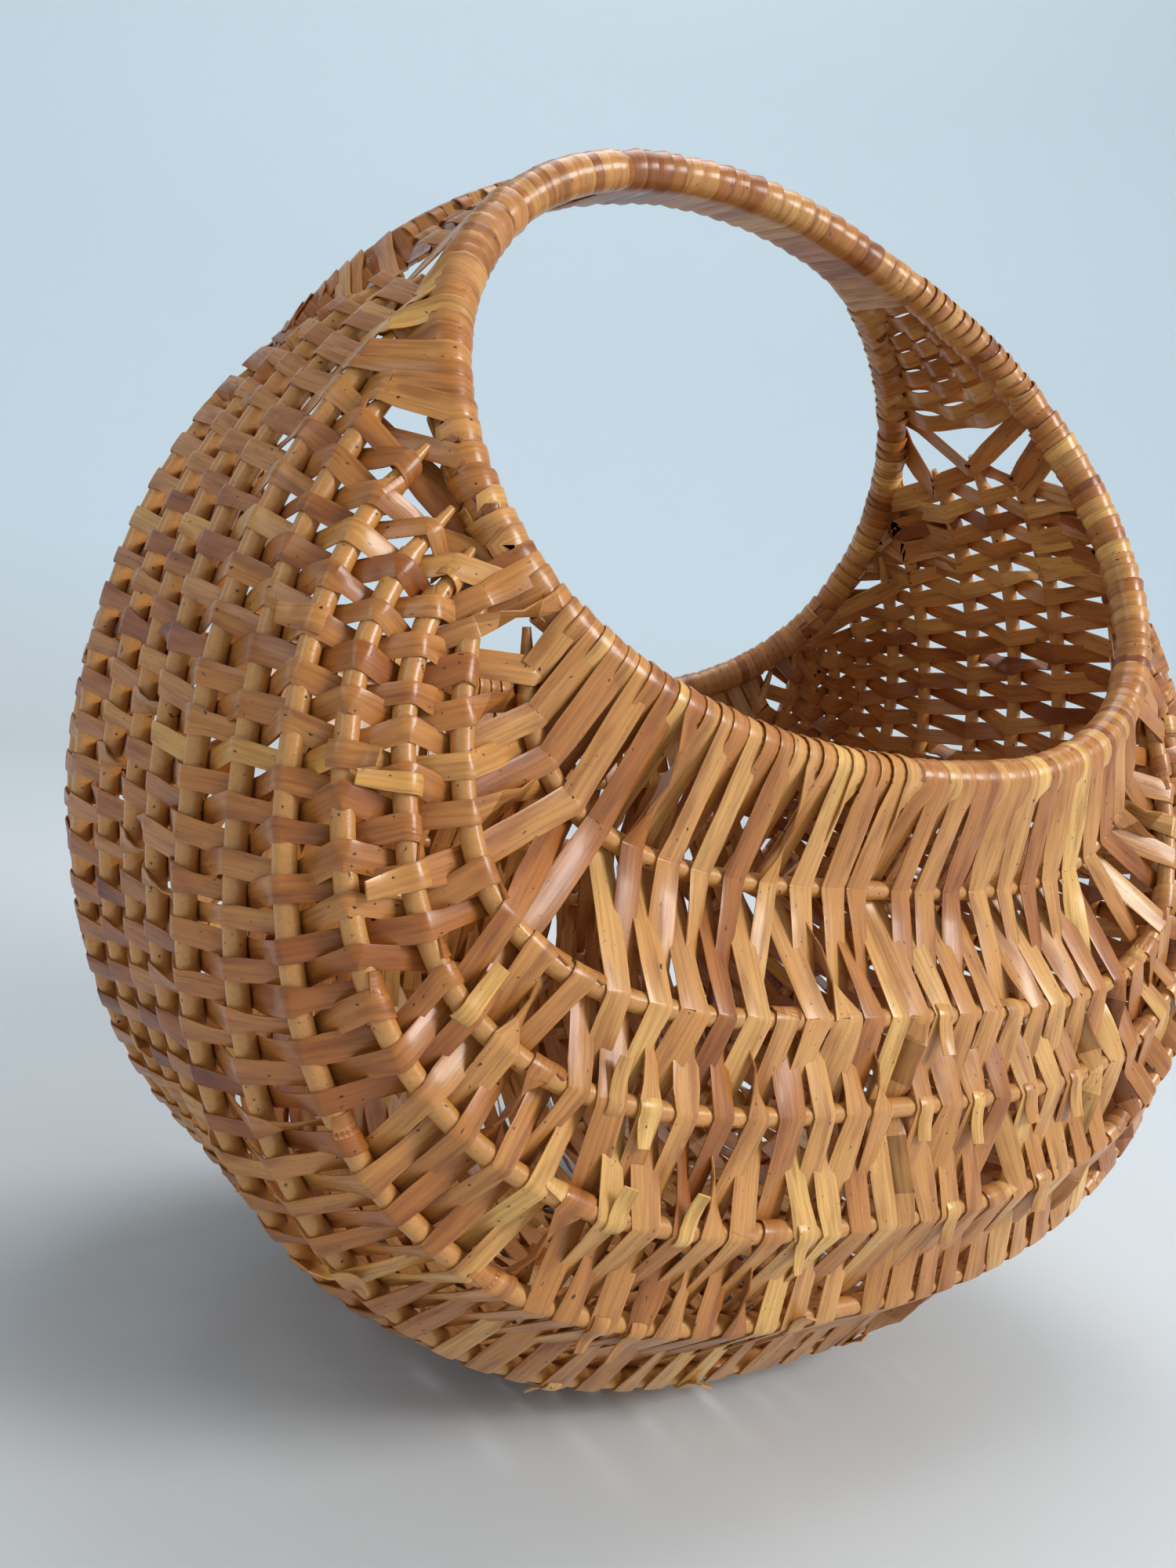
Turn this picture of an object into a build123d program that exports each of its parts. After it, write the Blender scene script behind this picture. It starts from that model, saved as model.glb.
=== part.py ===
from build123d import *
from math import atan2, cos, pi, sin, sqrt
import os

# A willow frame basket: two bent hoops lie side by side along the arched grip and splay apart
# below it as the two rims, crescent ribs run from ear to ear round the belly, and a skin of
# split-willow skeins is woven across the ribs from rim to rim.
# X runs along the grip, the front is -Y, Z is up. The origin is on the floor under the middle.

# ---- driving dimensions, mm ----
HOOP_TOP_Z = 390.0        # centre line of the hoops at the top of the grip
HOOP_HALF_WIDTH = 142.0   # largest half width of a hoop, seen from the front
RIM_Z = 208.0             # centre line of the rims at their lowest
RIM_Y = 111.0             # centre line of the rims at their lowest, out from the middle
GRIP_Y = 6.0              # centre line of the hoops in the grip, out from the middle
HOOP_ROD_R = 4.8          # bare hoop rod
WRAP_T = 1.3              # skein wound round a rim or the grip
RIB_R = 2.9               # rib rod
SKIN_T = 0.8              # woven skin, taken as one skein thick
FIT_GAP = 0.1             # between a hoop rod and the skein wound round it
GRIP_GAP = 0.3            # between the two hoop rods and the grip's wrap
EAR_GAP = 0.4             # between the two hoop rods and an ear's lashing
RIB_GAP = 1.2             # between the ribs and the plain skin over them
BAND_COUNT = 24           # woven skin, in bands of skein from rim to rim
BAND_GAP = 0.4            # between two bands
GRIP_END = 0.44           # hoop parameter where the grip's wrap ends (0 top, pi lowest)
EAR_START = 0.45          # hoop parameters between which an ear's lashing lies
EAR_END = 0.60
EAR_WRAPS = 2             # thickness of an ear's lashing, in turns of skein
RIM_START = 0.62          # hoop parameter where a rim's own wrap starts

# ---- hoop outline ----
HOOP_SHOULDER_POWER = 0.957   # fullness of the hoop's upper half
HOOP_LOWER_POWER = 0.853      # fullness of the hoop's lower half
HOOP_DROP = 0.113             # how far the widest place sits below the middle height
SPLAY_POWER = 0.85            # how early the two hoops part
SPLAY_START = 0.03            # share of the height over which they stay side by side
SPLAY_SOFTNESS = 0.02         # rounds the place where they start to part

# ---- ribs, from the front rim to the middle of the floor ----
# (hoop parameter of the tip, share of the hoop's Y at the tip, middle Y, middle Z, half length,
#  fullness above the widest place, fullness below it)
FLOOR_RIB_Z = RIB_R + RIB_GAP + SKIN_T
HALF_RIBS = [
    (2.11, 1.00, -104.0, 173.0, 125.0, 1.60, 3.25),
    (2.03, 1.00, -123.5, 140.0, 143.5, 2.60, 3.20),
    (1.95, 1.00, -127.5, 114.5, 157.5, 2.10, 3.10),
    (1.84, 1.00, -131.0, 82.0, 171.0, 2.20, 2.50),
    (1.66, 1.00, -120.0, 50.0, 180.0, 2.30, 2.45),
    (1.42, 1.00, -88.0, 16.0, 183.5, 2.30, 2.35),
    (1.23, 1.00, -54.0, FLOOR_RIB_Z, 188.5, 2.10, 2.30),
    (1.16, 0.45, -27.0, FLOOR_RIB_Z, 187.8, 2.10, 2.30),
    (1.11, 0.00, 0.0, FLOOR_RIB_Z, 187.0, 2.12, 2.33),
]
MIDDLE_RIB = len(HALF_RIBS) - 1
RIB_SPANS = 10                # arcs in half a rib, in pairs
HOOP_SPANS = 14               # the same in half a hoop
TIP_LENGTH = 16.0             # pared point of a rib
TIP_R = 1.1
TIP_BASE_R = 2.7              # the point's thick end, buried this far in the rod's end
TIP_ROOT = 2.0
TIP_CLEARANCE = 0.8           # between a rib's point and a rim's wrap
SAMPLES = 160                 # points along half a curve where it is only measured
GRIP_STATIONS = 8             # spans between the sections of the grip's wrap
EAR_STATIONS = 2              # the same in an ear's lashing
NEAR_T = 0.01                 # step of hoop parameter over which its direction is taken
STRAIGHT = 1e-9               # arcs that turn less than this are taken as equal legs
STRAIGHT_TURN = 1e-5          # an arc that turns less than this is a line
SKIN_COLUMNS = 2              # steps along a band's width
TIP_ROOM = 9.5                # a row crosses a rib no nearer than this to a rim's centre line
RIM_ROOM = 1.3                # the skin keeps this many wrapped radii from a rim's centre line
TRIM_SHARE = 0.86             # and gives up no more than this share of its run to the first rib
MITRE_LIMIT = 2.5             # most that a bend's corner is pushed out, against the flat runs


def hoop_point(t, side=1, end=1):
    """Centre line of a hoop: t from 0 (top) to pi (lowest), side 1 front or -1 back, end 1 right."""
    middle = (HOOP_TOP_Z + RIM_Z) / 2
    half = (HOOP_TOP_Z - RIM_Z) / 2
    power = HOOP_SHOULDER_POWER if cos(t) > 0 else HOOP_LOWER_POWER
    x = HOOP_HALF_WIDTH * max(sin(t), 0.0) ** power
    z = middle + half * cos(t) - HOOP_DROP * half * sin(t) ** 2
    drop = (HOOP_TOP_Z - z) / (HOOP_TOP_Z - RIM_Z)
    past = (drop - SPLAY_START) / (1 - SPLAY_START)
    soft = (past + sqrt(past**2 + SPLAY_SOFTNESS**2)) / 2
    y = GRIP_Y + (RIM_Y - GRIP_Y) * soft**SPLAY_POWER
    return Vector(end * x, -side * y, z)


def rib_shape(index):
    """A function of g, 0 (tip) to 1 (middle), for the right half of a front rib's centre line."""
    tip_t, tip_share, middle_y, middle_z, half_length, upper, lower = HALF_RIBS[index]
    tip = hoop_point(tip_t)
    tip = Vector(tip.X, tip.Y * tip_share, tip.Z)
    fall = Vector(0, middle_y - tip.Y, middle_z - tip.Z)
    depth = fall.length
    down = fall.normalized()
    rise = (1 - (tip.X / half_length) ** upper) ** (1 / upper)
    radius = depth / (1 + rise)
    first = -atan2(rise ** (upper / 2), (tip.X / half_length) ** (upper / 2))

    def point(g):
        angle = first + (pi / 2 - first) * g
        power = 2 / (upper if angle < 0 else lower)
        x = half_length * max(cos(angle), 0.0) ** power
        sign = 1 if angle > 0 else -1
        along = radius * rise + radius * sign * abs(sin(angle)) ** power
        return Vector(x, tip.Y, tip.Z) + down * along

    return point


def even_points(curve, start, stop, count, samples=SAMPLES):
    """Points evenly spaced by length along curve(t) from start to stop."""
    line = [curve(start + (stop - start) * i / samples) for i in range(samples + 1)]
    lengths = [0.0]
    for a, b in zip(line, line[1:]):
        lengths.append(lengths[-1] + (b - a).length)
    points = []
    spot = 0
    for i in range(count + 1):
        wanted = lengths[-1] * i / count
        while spot < samples - 1 and lengths[spot + 1] < wanted:
            spot += 1
        step = lengths[spot + 1] - lengths[spot]
        share = (wanted - lengths[spot]) / step
        points.append(line[spot] + (line[spot + 1] - line[spot]) * share)
    return points


def both_ends(half):
    """A whole curve, right end to left end, from its right half, which ends in the middle."""
    return half + [Vector(-p.X, p.Y, p.Z) for p in half[-2::-1]]


def directions(points, closed):
    """A tangent at each point, from the circle through it and its two neighbours."""
    count = len(points)
    result = []
    for i in range(count):
        if closed:
            before, after = points[i - 1], points[(i + 1) % count]
        else:
            before, after = points[max(i - 1, 0)], points[min(i + 1, count - 1)]
        if before is points[i] or after is points[i]:
            result.append(None)
            continue
        back, ahead = points[i] - before, after - points[i]
        result.append((back * (1 / back.length**2) + ahead * (1 / ahead.length**2)).normalized())
    if not closed:
        for end, inner in ((0, 1), (count - 1, count - 2)):
            chord = (points[inner] - points[end]).normalized()
            tangent = result[inner]
            result[end] = (chord * (2 * chord.dot(tangent)) - tangent).normalized()
    return result


def arc_pair(a, a_dir, b, b_dir):
    """Two arcs that join a to b and meet smoothly, each leaving with the direction given."""
    span = b - a
    both = a_dir + b_dir
    square = 2 * (1 - a_dir.dot(b_dir))
    mixed = span.dot(both)
    if square < STRAIGHT:
        leg = span.dot(span) / (2 * mixed)
    else:
        leg = (-mixed + sqrt(mixed**2 + square * span.dot(span))) / square
    first, second = a + a_dir * leg, b - b_dir * leg
    joint = (first + second) * 0.5
    joint_dir = (second - first).normalized()
    return [smooth_arc(a, joint, a_dir), smooth_arc(joint, b, joint_dir)]


def smooth_arc(a, b, tangent):
    """The arc from a to b that leaves a along the tangent, or a line where it hardly turns."""
    if tangent.cross((b - a).normalized()).length < STRAIGHT_TURN:
        return Line(a, b)
    return TangentArc(a, b, tangent=tangent)


def bent_path(points, closed=False):
    """A smooth path of arcs through the points, and its direction at each of them."""
    tangents = directions(points, closed)
    pairs = list(zip(points, tangents, points[1:], tangents[1:]))
    if closed:
        pairs.append((points[-1], tangents[-1], points[0], tangents[0]))
    arcs = []
    for a, a_dir, b, b_dir in pairs:
        arcs += [edge for arc in arc_pair(a, a_dir, b, b_dir) for edge in arc.edges()]
    return Wire(arcs), tangents


def rod(points, radius, closed=False, bore=0.0):
    """A round rod, or a sleeve if it has a bore, along a smooth path through the points."""
    path, tangents = bent_path(points, closed)
    section = Circle(radius)
    if bore:
        section -= Circle(bore)
    return sweep(Plane(origin=points[0], z_dir=tangents[0]) * section, path=path)


def hoop(side):
    """A bare hoop rod, closed at the bottom of the rim; side is 1 front or -1 back."""
    half = even_points(lambda t: hoop_point(t, side), 0, pi, HOOP_SPANS)
    left = [Vector(-p.X, p.Y, p.Z) for p in half[1:-1]]
    return rod(half + left[::-1], HOOP_ROD_R, closed=True)


def rim_wrap(side):
    """The layer of skein round one hoop from ear to ear; side is 1 front or -1 back."""
    half = even_points(lambda t: hoop_point(t, side), RIM_START, pi, HOOP_SPANS)
    return rod(both_ends(half), HOOP_ROD_R + WRAP_T, bore=HOOP_ROD_R + FIT_GAP)


def twin_sleeve(t_values, inner, outer):
    """A sleeve over both hoops, lofted through stadium sections across the hoop parameters."""

    def middle(t):
        point = hoop_point(abs(t))
        return Vector(point.X if t > 0 else -point.X, 0, point.Z)

    def section(t, radius):
        tangent = (middle(t + NEAR_T) - middle(t - NEAR_T)).normalized()
        spread = 2 * abs(hoop_point(abs(t)).Y)
        plane = Plane(origin=middle(t), x_dir=(0, 1, 0), z_dir=tangent)
        return plane * SlotCenterToCenter(spread, 2 * radius)

    body = loft([section(t, outer) for t in t_values])
    return body - loft([section(t, inner) for t in t_values])


def grip_wrap():
    """The layer of skein round both hoops along the grip."""
    t_values = [GRIP_END * (2 * i / GRIP_STATIONS - 1) for i in range(GRIP_STATIONS + 1)]
    return twin_sleeve(t_values, HOOP_ROD_R + GRIP_GAP, HOOP_ROD_R + WRAP_T)


def ear_lashing(end):
    """The thicker lashing where the hoops part, at an ear; end is 1 right or -1 left."""
    length = EAR_END - EAR_START
    t_values = [EAR_START + length * i / EAR_STATIONS for i in range(EAR_STATIONS + 1)]
    lashing = twin_sleeve(t_values, HOOP_ROD_R + EAR_GAP, HOOP_ROD_R + EAR_WRAPS * WRAP_T)
    return lashing if end == 1 else mirror(lashing, about=Plane.YZ)


HOOP_LINE = [hoop_point(pi * i / SAMPLES) for i in range(SAMPLES + 1)]
BOTH_HOOPS = HOOP_LINE + [Vector(p.X, -p.Y, p.Z) for p in HOOP_LINE]


def room(point):
    """Distance from a point to the nearer hoop's centre line."""
    return min((point - spot).length for spot in BOTH_HOOPS)


def rib_starts(curve):
    """Where a rib's point clears the rims, and where its full thickness starts, as values of g."""
    needed = HOOP_ROD_R + WRAP_T + TIP_R + TIP_CLEARANCE
    steps = [i / SAMPLES for i in range(SAMPLES)]
    point_g = next(g for g in steps if room(curve(g)) > needed)
    body_g = next(g for g in steps if g > point_g and (curve(g) - curve(point_g)).length > TIP_LENGTH)
    return point_g, body_g


def rib(index, side):
    """A crescent rib, pared to a point at both ends; side is 1 front or -1 back."""
    curve = rib_shape(index)
    point_g, body_g = rib_starts(curve)
    half = even_points(curve, body_g, 1, RIB_SPANS)
    line = [Vector(p.X, side * p.Y, p.Z) for p in both_ends(half)]
    body = rod(line, RIB_R)
    tip = curve(point_g)
    pared = Vector(tip.X, side * tip.Y, tip.Z) - line[0]
    root = line[0] - pared.normalized() * TIP_ROOT
    cone = Solid.make_cone(TIP_BASE_R, TIP_R, pared.length + TIP_ROOT, Plane(origin=root, z_dir=pared))
    return body + cone + mirror(cone, about=Plane.YZ)


def at_share(line, lengths, share):
    """The point at a share of the length of a line of points."""
    wanted = share * lengths[-1]
    spot = next((i for i in range(1, len(line) - 1) if lengths[i] >= wanted), len(line) - 1)
    step = (wanted - lengths[spot - 1]) / (lengths[spot] - lengths[spot - 1])
    return line[spot - 1] + (line[spot] - line[spot - 1]) * step


def measured(curve, start):
    """A line of points along curve from start, with the length to each."""
    stop = pi if curve is hoop_point else 1
    line = [curve(start + (stop - start) * i / SAMPLES) for i in range(SAMPLES + 1)]
    lengths = [0.0]
    for a, b in zip(line, line[1:]):
        lengths.append(lengths[-1] + (b - a).length)
    return line, lengths


RIM = measured(hoop_point, RIM_START)
RIBS = [measured(rib_shape(i), 0) for i in range(len(HALF_RIBS))]


def tip_share(index):
    """How far along the rim, ear to middle, a rib's tip lies."""
    t = HALF_RIBS[index][0]
    spot = round((t - RIM_START) / (pi - RIM_START) * SAMPLES)
    return RIM[1][spot] / RIM[1][-1]


def clear_share(index):
    """How far along a rib, tip to middle, it comes clear of the rims."""
    line, lengths = RIBS[index]
    clear = next(length for point, length in zip(line, lengths) if room(point) > TIP_ROOM)
    return clear / lengths[-1]


TIP_SHARES = [tip_share(i) for i in range(len(HALF_RIBS))]
CLEAR_SHARES = [clear_share(i) for i in range(len(RIBS))]


def crossing(index, share):
    """Where a row of weaving crosses a rib; before the rib is clear of the rims it keeps to its start."""
    tip = TIP_SHARES[index]
    return at_share(*RIBS[index], max((share - tip) / (1 - tip), CLEAR_SHARES[index]))


def crossed_ribs(share):
    """The ribs a row crosses clear of the rims, from the front rim to the middle."""
    along = [(share - TIP_SHARES[i]) / (1 - TIP_SHARES[i]) for i in range(len(RIBS))]
    return [i for i in range(len(RIBS)) if along[i] > CLEAR_SHARES[i]]


def skin_row(share, ribs):
    """A row of weaving, front rim to back rim, straight from rib to rib and clear of both rims."""
    rim_point = at_share(*RIM, share)
    front = [crossing(i, share) for i in ribs]
    inward = (front[0] if front else Vector(rim_point.X, 0, rim_point.Z)) - rim_point
    trim = min((HOOP_ROD_R + WRAP_T) * RIM_ROOM, inward.length * TRIM_SHARE)
    front.insert(0, rim_point + inward.normalized() * trim)
    back = [Vector(p.X, -p.Y, p.Z) for p in front[::-1]]
    return front + (back[1:] if MIDDLE_RIB in ribs else back)


def mitre(line, spot):
    """How much farther out a bend's corner lies than the flat runs on both sides of it."""
    if spot in (0, len(line) - 1):
        return 1.0
    before = (line[spot] - line[spot - 1]).normalized()
    after = (line[spot + 1] - line[spot]).normalized()
    return min(1 / sqrt((1 + before.dot(after)) / 2), MITRE_LIMIT)


def skin_section(across, along, stretch):
    """The flat cut through a band at one station: across is its line of points, along the row's run,
    and stretch how much farther out a bend's corner lies."""
    start = across[0]
    width = (across[-1] - start).normalized()
    out = width.cross(along).normalized()
    feet = [start + width * (p - start).dot(width) + out * (p - start).dot(out) for p in across]
    inner = [foot + out * (RIB_R + RIB_GAP) * stretch for foot in feet]
    outer = [foot + out * (RIB_R + RIB_GAP + SKIN_T) * stretch for foot in feet]
    return Wire.make_polygon(inner + outer[::-1])


def band(number, end):
    """One band of the woven skin, as a plain curved sheet over the ribs; end is 1 right, -1 left."""
    per_side = BAND_COUNT // 2
    gap = BAND_GAP / RIM[1][-1]
    first = number / per_side + gap / 2
    last = (number + 1) / per_side - gap / 2
    ribs = crossed_ribs((first + last) / 2)
    rows = [skin_row(first + (last - first) * i / SKIN_COLUMNS, ribs) for i in range(SKIN_COLUMNS + 1)]
    middle = rows[SKIN_COLUMNS // 2]
    sections = []
    for spot in range(len(middle)):
        along = middle[min(spot + 1, len(middle) - 1)] - middle[max(spot - 1, 0)]
        stretch = mitre(middle, spot)
        sections.append(skin_section([row[spot] for row in rows], along, stretch))
    sheet = Solid.make_loft(sections, ruled=True)
    return sheet if end == 1 else mirror(sheet, about=Plane.YZ)


def parts():
    """Every sub-part, by name."""
    made = {
        "front_hoop": hoop(1),
        "back_hoop": hoop(-1),
        "front_rim_wrap": rim_wrap(1),
        "back_rim_wrap": rim_wrap(-1),
        "grip_wrap": grip_wrap(),
        "left_ear_lashing": ear_lashing(-1),
        "right_ear_lashing": ear_lashing(1),
    }
    for index in range(MIDDLE_RIB):
        made[f"front_rib_{index + 1}"] = rib(index, 1)
        made[f"back_rib_{index + 1}"] = rib(index, -1)
    made["middle_rib"] = rib(MIDDLE_RIB, 1)
    for number in range(BAND_COUNT // 2):
        made[f"left_weave_band_{number + 1}"] = band(number, -1)
        made[f"right_weave_band_{number + 1}"] = band(number, 1)
    return made


os.makedirs("parts", exist_ok=True)
for name, shape in parts().items():
    export_step(shape, f"parts/{name}.step")
    print(name)
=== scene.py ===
import bpy
import numpy as np
from mathutils import Matrix, Vector


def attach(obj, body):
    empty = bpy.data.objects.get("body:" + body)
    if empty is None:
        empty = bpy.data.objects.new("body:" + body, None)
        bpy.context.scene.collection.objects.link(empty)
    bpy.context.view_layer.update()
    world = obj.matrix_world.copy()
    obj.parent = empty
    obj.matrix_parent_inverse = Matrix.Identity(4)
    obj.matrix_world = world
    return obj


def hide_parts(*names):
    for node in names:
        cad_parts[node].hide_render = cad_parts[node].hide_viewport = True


# A willow frame basket. The CAD's hoops and ribs are kept and get rod materials. Every pass of weaving,
# turn of wrapping and strip at the ears is a strip of split willow, bent by rule round the rods.
# The shape is worked out in mm for the left half, X along the grip, Z up, and mirrored for the right.

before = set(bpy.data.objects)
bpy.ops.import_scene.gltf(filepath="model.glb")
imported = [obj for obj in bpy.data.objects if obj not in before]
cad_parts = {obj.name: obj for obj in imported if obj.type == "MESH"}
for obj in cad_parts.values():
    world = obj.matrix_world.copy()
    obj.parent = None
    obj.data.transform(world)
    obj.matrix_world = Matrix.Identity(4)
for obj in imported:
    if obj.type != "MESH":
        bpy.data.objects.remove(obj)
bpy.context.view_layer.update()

MM = 0.001  # lengths are in mm, unless a comment says metres; meshes are written in metres
rng = np.random.default_rng(11)

# ---------------------------------------------------------------- the shape, as in the CAD
HOOP_TOP_Z = 390.0
HOOP_HALF_WIDTH = 142.0
RIM_Z = 208.0
RIM_Y = 111.0
GRIP_Y = 6.0
HOOP_SHOULDER_POWER = 0.957
HOOP_LOWER_POWER = 0.853
HOOP_DROP = 0.113
SPLAY_POWER = 0.85
SPLAY_START = 0.03
SPLAY_SOFTNESS = 0.02
HOOP_R = 4.8
RIB_R = 2.9
FLOOR_RIB_Z = 4.9
# hoop parameter of the tip, share of the hoop's Y there, middle Y, middle Z, half length,
# fullness above and below the widest place
HALF_RIBS = [
    (2.11, 1.00, -104.0, 173.0, 125.0, 1.60, 3.25),
    (2.03, 1.00, -123.5, 140.0, 143.5, 2.60, 3.20),
    (1.95, 1.00, -127.5, 114.5, 157.5, 2.10, 3.10),
    (1.84, 1.00, -131.0, 82.0, 171.0, 2.20, 2.50),
    (1.66, 1.00, -120.0, 50.0, 180.0, 2.30, 2.45),
    (1.42, 1.00, -88.0, 16.0, 183.5, 2.30, 2.35),
    (1.23, 1.00, -54.0, FLOOR_RIB_Z, 188.5, 2.10, 2.30),
    (1.16, 0.45, -27.0, FLOOR_RIB_Z, 187.8, 2.10, 2.30),
    (1.11, 0.00, 0.0, FLOOR_RIB_Z, 187.0, 2.12, 2.33),
]
GRIP_END = 0.47  # hoop parameter where the common wrap of the grip ends
RIM_FROM = 0.40  # hoop parameter where the measured rim line starts, above the grip's end
RIM_SAMPLES = 700
RIB_SAMPLES = 500
TANGENT_REACH = 1.5  # a line's direction is taken over this far each way

# lines are numbered from the front rim over the ribs to the back rim
MIDDLE = len(HALF_RIBS)
LAST = 2 * MIDDLE


def hoop(t):
    """Centre line of the front hoop's right half."""
    t = np.atleast_1d(t)
    c, s = np.cos(t), np.maximum(np.sin(t), 1e-9)
    half = (HOOP_TOP_Z - RIM_Z) / 2
    x = HOOP_HALF_WIDTH * s ** np.where(c > 0, HOOP_SHOULDER_POWER, HOOP_LOWER_POWER)
    z = RIM_Z + half + half * c - HOOP_DROP * half * s**2
    drop = (HOOP_TOP_Z - z) / (HOOP_TOP_Z - RIM_Z)
    past = (drop - SPLAY_START) / (1 - SPLAY_START)
    soft = (past + np.sqrt(past**2 + SPLAY_SOFTNESS**2)) / 2
    y = -(GRIP_Y + (RIM_Y - GRIP_Y) * soft**SPLAY_POWER)
    return np.stack([x, y, z], -1)


def rib(index):
    """Centre line of a front rib's right half, tip to middle."""
    tip_t, share, middle_y, middle_z, half, upper, lower = HALF_RIBS[index]
    tip = hoop(tip_t)[0]
    tip[1] *= share
    fall = np.array([0, middle_y - tip[1], middle_z - tip[2]])
    depth = np.linalg.norm(fall)
    down = fall / depth
    rise = (1 - (tip[0] / half) ** upper) ** (1 / upper)
    radius = depth / (1 + rise)
    first = -np.arctan2(rise ** (upper / 2), (tip[0] / half) ** (upper / 2))
    angle = np.linspace(first, np.pi / 2, RIB_SAMPLES)
    power = 2 / np.where(angle < 0, upper, lower)
    x = half * np.maximum(np.cos(angle), 0) ** power
    along = radius * rise + radius * np.sign(angle) * np.abs(np.sin(angle)) ** power
    return np.stack([x, tip[1] + down[1] * along, tip[2] + down[2] * along], -1)


def unit(v):
    """The same direction with length 1, for one vector or many."""
    v = np.asarray(v, float)
    return v / (np.linalg.norm(v, axis=-1, keepdims=True) + 1e-12)


class Line:
    """A hoop or rib as the left half of a curve, measured in mm from its middle to its tip."""

    def __init__(self, right_half):
        self.points = right_half[::-1] * [-1, 1, 1]
        steps = np.linalg.norm(np.diff(self.points, axis=0), axis=1)
        self.s = np.concatenate([[0], np.cumsum(steps)])
        self.length = self.s[-1]

    def at(self, s):
        s = np.clip(s, 0, self.length)
        return np.stack([np.interp(s, self.s, self.points[:, i]) for i in range(3)], -1)

    def tangent(self, s):
        return unit(self.at(s + TANGENT_REACH) - self.at(s - TANGENT_REACH))

    def nearest(self, point):
        """The length along the line at which it comes closest to a point."""
        k = np.linalg.norm(self.points - point, axis=1).argmin()
        best = (1e9, 0.0)
        for a in (max(k - 1, 0), min(k, len(self.points) - 2)):
            start, step = self.points[a], self.points[a + 1] - self.points[a]
            share = np.clip((point - start) @ step / (step @ step), 0, 1)
            gap = np.linalg.norm(start + step * share - point)
            best = min(best, (gap, self.s[a] + share * (self.s[a + 1] - self.s[a])))
        return best[1]


RIM = Line(hoop(np.linspace(RIM_FROM, np.pi, RIM_SAMPLES)))
LINES = [RIM] + [Line(rib(k)) for k in range(MIDDLE)]


def line_point(number, s):
    """A point on line number 0 (front rim) to LAST (back rim), left half."""
    if number <= MIDDLE:
        return LINES[number].at(s)
    return LINES[LAST - number].at(s) * [1, -1, 1]


def line_tangent(number, s):
    """The direction of a line towards its tip, left half."""
    if number <= MIDDLE:
        return LINES[number].tangent(s)
    return LINES[LAST - number].tangent(s) * [1, -1, 1]


def smooth_step(a, b, x):
    """0 below a and 1 above b, with an even rise between."""
    x = np.clip((x - a) / (b - a), 0, 1)
    return x * x * (3 - 2 * x)


def relaxed(x, times):
    """The values evened out against their neighbours; the two ends stay."""
    x = np.array(x, float)
    for _ in range(times):
        x[1:-1] = 0.5 * x[1:-1] + 0.25 * (x[2:] + x[:-2])
    return x


# ---------------------------------------------------------------- where the passes run
PITCH = 6.4  # between passes on the middle rib
LEAST_PITCH = 5.2  # closer than this and two passes turn back
CROWD_SPAN = 4  # passes over which crowding is measured
RIB_EVENING = 30  # rounds of evening out after two passes have turned back
RIM_EVENING = 12
TIP_MARGIN = 1.0  # a pass crosses a rib no nearer than this to its tip
EAR_S = RIM.nearest(hoop(HALF_RIBS[-1][0])[0] * [-1, 1, 1])  # rim level with the highest rib tip
EAR_EASE = 45.0  # length of rim over which the passes close up towards the ear
EAR_RISE = 7.0  # how far above the highest rib tip the last pass would meet the rim
EAR_SHIFT = 13.0  # near an ear the passes climb this much farther along the rim
EAR_SHIFT_FROM, EAR_SHIFT_TO = 112.0, 172.0  # places on the rim between which the climb grows


def make_rows():
    """Half a basket of passes: for each, where it crosses each front line, keyed by line number.

    Passes run square to the ribs. Where they crowd, two neighbours turn back round a rib."""
    middle = LINES[MIDDLE]
    count = int(middle.length / PITCH)
    rows = [{MIDDLE: (i + 0.5) * middle.length / count} for i in range(count)]
    alive = list(range(count))
    for k in range(MIDDLE - 1, 0, -1):
        found = {}
        for i in alive:
            if min(rows[i]) != k + 1:
                continue
            s = LINES[k].nearest(LINES[k + 1].at(rows[i][k + 1]))
            if s < LINES[k].length - TIP_MARGIN:
                found[i] = s
        order = sorted(found)
        x = np.array([found[i] for i in order])
        while len(x) > 2 * CROWD_SPAN:
            crowd = (x[CROWD_SPAN:] - x[:-CROWD_SPAN]) / CROWD_SPAN
            j = int(crowd.argmin())
            if crowd[j] >= LEAST_PITCH:
                break
            gone = order[j + 1 : j + 3]
            alive = [a for a in alive if a not in gone]
            order = order[: j + 1] + order[j + 3 :]
            x = relaxed(np.delete(x, [j + 1, j + 2]), RIB_EVENING)
        for i, s in zip(order, x):
            rows[i][k] = float(s)
    firsts = [(min(rows[i]), rows[i][min(rows[i])]) for i in alive]
    x = relaxed([RIM.nearest(LINES[k].at(s)) for k, s in firsts], RIM_EVENING)
    above = x > EAR_S - EAR_EASE
    squeeze = (EAR_EASE + EAR_RISE) / (x[-1] - EAR_S + EAR_EASE)
    x[above] = EAR_S - EAR_EASE + (x[above] - EAR_S + EAR_EASE) * squeeze
    x += EAR_SHIFT * smooth_step(EAR_SHIFT_FROM, EAR_SHIFT_TO, x)
    for i, s in zip(alive, x):
        rows[i][0] = float(s)
    return rows


ROWS = make_rows()


def local_pitches():
    """For each pass, the distance to its neighbours along each line that it crosses."""
    pitches = [{} for _ in ROWS]
    for k in range(MIDDLE + 1):
        here = [i for i, row in enumerate(ROWS) if k in row]
        s = np.array([ROWS[i][k] for i in here])
        for i, gap in zip(here, np.gradient(s)):
            pitches[i][k] = float(gap)
    return pitches


LOCAL_PITCH = local_pitches()


# ---------------------------------------------------------------- strips
STRIP_T = 0.7
GRIP_STRIP_T = 0.9
SHARP_ANGLE = 0.5
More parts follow.
